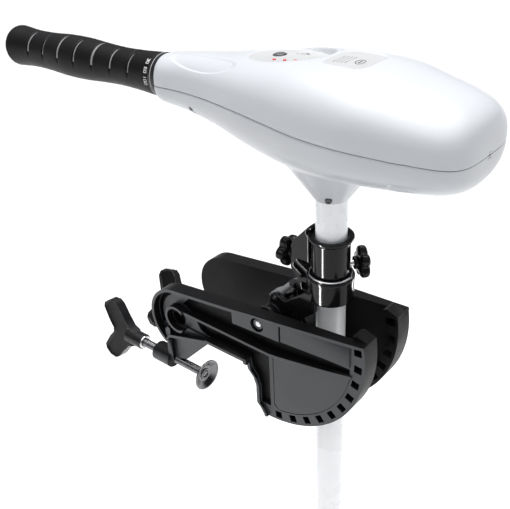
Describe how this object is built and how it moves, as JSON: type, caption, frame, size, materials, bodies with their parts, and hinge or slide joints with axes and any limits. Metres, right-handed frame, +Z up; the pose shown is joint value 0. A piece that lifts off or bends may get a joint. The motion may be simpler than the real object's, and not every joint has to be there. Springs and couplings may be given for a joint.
{
  "type": "transom-mount trolling motor",
  "caption": "Electric trolling motor: tiller head on a long shaft, tilt bracket with twin clamp screws, pod motor with a propeller and skeg.",
  "frame": {"origin": "centre of the bracket's bearing face, where it rests on the outside of the boat's transom", "axes": "+X aft, away from the transom; +Y to the side; +Z up along the shaft; the tiller points along -X and the near plate is at -Y"},
  "size_m": [0.6152, 0.1354, 1.1684],
  "materials": {
    "head_shell": "gloss",
    "label_grey": "satin",
    "black_plastic": "satin",
    "circuit_board": "satin",
    "red_lens": "gloss",
    "wire_red": "matte",
    "grip_rubber": "matte",
    "shaft_composite": "satin",
    "bracket_grey": "satin",
    "white_bushing": "satin",
    "lever_grey": "satin",
    "steel": "satin",
    "brass": "satin",
    "copper": "satin",
    "tiller_alloy": "satin",
    "pod_paint": "satin",
    "magnet_grey": "matte",
    "prop_plastic": "satin"
  },
  "bodies": {
    "bracket": {"near_plate": "bracket_grey", "far_plate": "bracket_grey", "transom_block": "bracket_grey", "block_dowels": "steel", "clamp_inserts": "brass", "pivot_bolt": "steel", "pivot_nut": "steel", "pivot_bushings": "black_plastic"},
    "carrier": {"carrier": "black_plastic", "carrier_bushing": "white_bushing", "lever_pin_rod": "steel", "latch_spring": "steel"},
    "latch": {"latch_bar": "steel", "latch_rod": "steel"},
    "lever": {"tilt_lever": "lever_grey"},
    "tension_knob": {"tension_knob": "black_plastic", "tension_screw": "steel"},
    "collar": {"depth_collar": "black_plastic", "collar_washer": "black_plastic"},
    "depth_knob": {"depth_knob": "black_plastic", "depth_screw": "steel"},
    "shaft": {"shaft_tube": "shaft_composite", "wire_bundle": "wire_red", "top_cover": "head_shell", "lower_cover": "head_shell", "meter_panel": "label_grey", "rear_label": "label_grey", "meter_board": "circuit_board", "meter_leds": "red_lens", "speed_controller": "black_plastic", "cover_screws": "steel", "cable_gland": "black_plastic", "neck_screw": "steel", "tiller_sleeve": "head_shell", "dial_ring": "black_plastic", "motor_housing": "pod_paint", "nose_cone": "pod_paint", "rear_end_bell": "pod_paint", "magnets": "magnet_grey", "brush_plate": "white_bushing", "front_bearing": "steel", "rear_bearing": "steel", "through_bolts": "steel"},
    "tiller": {"tiller_tube": "tiller_alloy"},
    "grip": {"grip_core": "black_plastic", "grip": "grip_rubber", "grip_end_cap": "black_plastic", "throttle_rod": "steel"},
    "button": {"test_button": "black_plastic"},
    "propeller": {"propeller": "prop_plastic", "drive_pin": "steel", "prop_nut": "prop_plastic", "armature": "steel", "commutator": "copper"},
    "near_pad": {"near_clamp_pad": "steel"},
    "near_screw": {"near_clamp_screw": "steel", "near_clamp_handle": "black_plastic"},
    "far_pad": {"far_clamp_pad": "steel"},
    "far_screw": {"far_clamp_screw": "steel", "far_clamp_handle": "black_plastic"}
  },
  "joints": [
    {"name": "tilt", "type": "hinge", "parent": "bracket", "child": "carrier", "pos_m": [0.0085, 0, 0.084], "axis": [0, -1, 0], "range_deg": [0, 58.5]},
    {"name": "steer", "type": "hinge", "parent": "carrier", "child": "collar", "pos_m": [0.062, 0, 0], "axis": [0, 0, 1], "range_deg": [-175, 75]},
    {"name": "depth", "type": "slide", "parent": "collar", "child": "shaft", "axis": [0, 0, 1], "range_m": [-0.03, 0.55]},
    {"name": "depth_knob_turn", "type": "hinge", "parent": "collar", "child": "depth_knob", "pos_m": [0.07781, 0.01884, 0.147], "axis": [0.6428, 0.766, 0], "range_deg": [-90, 90]},
    {"name": "tension_knob_turn", "type": "hinge", "parent": "carrier", "child": "tension_knob", "pos_m": [0.02, 0, 0.147], "axis": [-1, 0, 0], "range_deg": [-90, 90]},
    {"name": "latch", "type": "slide", "parent": "carrier", "child": "latch", "axis": [0.159, 0, -0.9873], "range_m": [0, 0.0095], "stiffness_N_per_m": 400, "springref_m": 0.02, "deforming": ["latch_spring"]},
    {"name": "tilt_lever_turn", "type": "hinge", "parent": "carrier", "child": "lever", "pos_m": [0.011, 0, 0.103], "axis": [0, -1, 0], "range_deg": [-45.5, 0]},
    {"name": "near_clamp_travel", "type": "slide", "parent": "bracket", "child": "near_pad", "axis": [1, 0, 0], "range_m": [-0.01905, 0.01905]},
    {"name": "near_clamp_turn", "type": "hinge", "parent": "near_pad", "child": "near_screw", "pos_m": [-0.1, -0.038, -0.0215], "axis": [1, 0, 0], "range_deg": [-4325, 4325]},
    {"name": "far_clamp_travel", "type": "slide", "parent": "bracket", "child": "far_pad", "axis": [1, 0, 0], "range_m": [-0.01905, 0.01905]},
    {"name": "far_clamp_turn", "type": "hinge", "parent": "far_pad", "child": "far_screw", "pos_m": [-0.1, 0.038, -0.0215], "axis": [1, 0, 0], "range_deg": [-4325, 4325]},
    {"name": "tiller_reach", "type": "slide", "parent": "shaft", "child": "tiller", "axis": [-0.9994, 0, -0.0349], "range_m": [0, 0.15]},
    {"name": "throttle", "type": "hinge", "parent": "tiller", "child": "grip", "pos_m": [0.062, 0, 0.2943], "axis": [-0.9994, 0, -0.0349], "range_deg": [-60, 100]},
    {"name": "test_button_press", "type": "slide", "parent": "shaft", "child": "button", "axis": [0, 0, -1], "range_m": [0, 0.0015], "stiffness_N_per_m": 800, "springref_m": -0.0005},
    {"name": "propeller_spin", "type": "hinge", "parent": "shaft", "child": "propeller", "pos_m": [0.062, 0, -0.69], "axis": [1, 0, 0], "continuous": true}
  ],
  "couplings": [
    {"joint": "tilt_lever_turn", "follows": "latch", "rad_per_m": -82.674},
    {"joint": "near_clamp_turn", "follows": "near_clamp_travel", "rad_per_m": 3957.9},
    {"joint": "far_clamp_turn", "follows": "far_clamp_travel", "rad_per_m": 3957.9}
  ]
}
